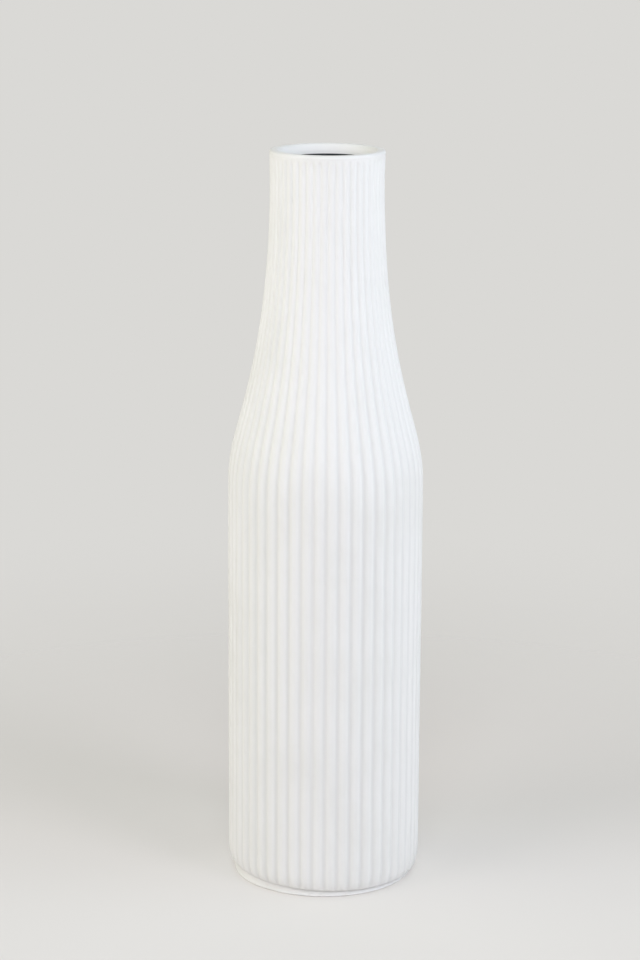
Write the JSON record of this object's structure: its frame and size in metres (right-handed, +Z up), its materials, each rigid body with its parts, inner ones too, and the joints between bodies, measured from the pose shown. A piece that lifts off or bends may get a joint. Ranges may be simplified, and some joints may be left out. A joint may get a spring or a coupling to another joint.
{
  "type": "floor vase",
  "caption": "Tall bottle-shaped floor vase with soft vertical flutes, a plain lip ring, a hollow body open at the mouth, and a recessed base disc on felt pads.",
  "frame": {"origin": "on the floor under the middle of the body, at the underside of the felt pads", "axes": "+Z up along the vase, -Y is the front, +X is to the right seen from the front"},
  "size_m": [0.2108, 0.2108, 0.8],
  "materials": {
    "clay_body": "matte white paint over cast clay composite",
    "clay_base": "matte white paint, hand finished",
    "joint_filler": "raw grey filler",
    "pad_felt": "pressed felt"
  },
  "bodies": {
    "root": {"fluted_shell": "clay_body", "lip_ring": "clay_body", "base_disc": "clay_base", "base_joint_bead": "joint_filler", "floor_pad_1": "pad_felt", "floor_pad_2": "pad_felt", "floor_pad_3": "pad_felt", "floor_pad_4": "pad_felt"}
  },
  "joints": []
}
